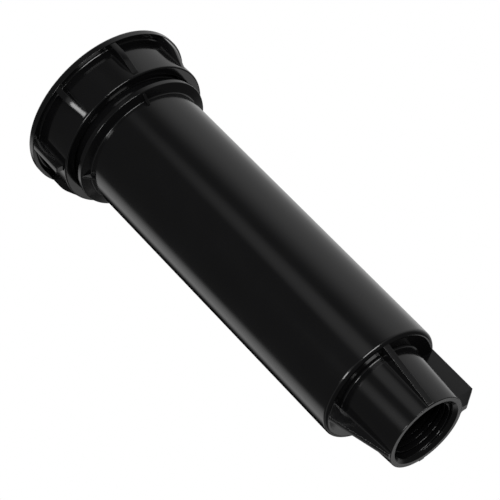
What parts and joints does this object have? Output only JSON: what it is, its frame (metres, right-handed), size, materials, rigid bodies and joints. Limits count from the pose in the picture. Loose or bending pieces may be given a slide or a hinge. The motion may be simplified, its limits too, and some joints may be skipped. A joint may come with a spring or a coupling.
{
  "type": "pop-up sprinkler",
  "caption": "Pop-up spray sprinkler: moulded case with tapped inlet and gripping cap, spring-returned riser with ratchet, wiper seal, filter and adjustable nozzle.",
  "frame": {"origin": "centre of the inlet's mouth, on the riser's axis", "axes": "+Z along the riser's axis from the inlet to the cap; +X through the rectangular fin beside the inlet"},
  "size_m": [0.057, 0.057, 0.156],
  "materials": {
    "case_plastic": "moulded black plastic, satin gloss",
    "cap_plastic": "moulded black plastic, satin gloss",
    "seal_rubber": "matt black elastomer",
    "ring_plastic": "natural acetal",
    "spring_steel": "drawn stainless wire",
    "riser_plastic": "moulded black plastic",
    "filter_plastic": "natural nylon",
    "mesh_steel": "woven stainless mesh",
    "nozzle_plastic": "moulded black plastic",
    "collar_plastic": "moulded dark grey plastic",
    "screw_steel": "turned stainless steel"
  },
  "bodies": {
    "case": {"case": "case_plastic"},
    "seal_stack": {"wiper_seal": "seal_rubber", "spring_seat_ring": "ring_plastic", "retraction_spring": "spring_steel"},
    "cap": {"cap": "cap_plastic"},
    "ratchet": {"ratchet_ring": "ring_plastic"},
    "riser": {"riser_stem": "riser_plastic", "riser_foot": "riser_plastic", "check_seal": "seal_rubber", "check_retainer": "riser_plastic", "filter_frame": "filter_plastic", "filter_mesh": "mesh_steel", "nozzle_base": "nozzle_plastic", "nozzle_deflector": "nozzle_plastic"},
    "arc_collar": {"arc_collar": "collar_plastic"},
    "radius_screw": {"radius_screw": "screw_steel"}
  },
  "joints": [
    {"name": "pop_up", "type": "slide", "parent": "case", "child": "ratchet", "axis": [0, 0, 1], "range_m": [0, 0.1], "stiffness_N_per_m": 120, "springref_m": -0.04, "deforming": ["retraction_spring"]},
    {"name": "riser_turn", "type": "hinge", "parent": "ratchet", "child": "riser", "pos_m": [0, 0, 0.025], "axis": [0, 0, 1], "continuous": true},
    {"name": "seal_lift", "type": "slide", "parent": "case", "child": "seal_stack", "axis": [0, 0, 1], "range_m": [0, 0.009]},
    {"name": "cap_turn", "type": "hinge", "parent": "seal_stack", "child": "cap", "pos_m": [0, 0, 0.15], "axis": [0, 0, 1], "range_deg": [0, 900]},
    {"name": "arc_turn", "type": "hinge", "parent": "riser", "child": "arc_collar", "pos_m": [0, 0, 0.153], "axis": [0, 0, 1], "range_deg": [0, 330]},
    {"name": "screw_turn", "type": "hinge", "parent": "riser", "child": "radius_screw", "pos_m": [0, 0, 0.15], "axis": [0, 0, -1], "range_deg": [0, 1800]}
  ],
  "couplings": [
    {"joint": "seal_lift", "follows": "cap_turn", "m_per_rad": 0.00057295}
  ]
}
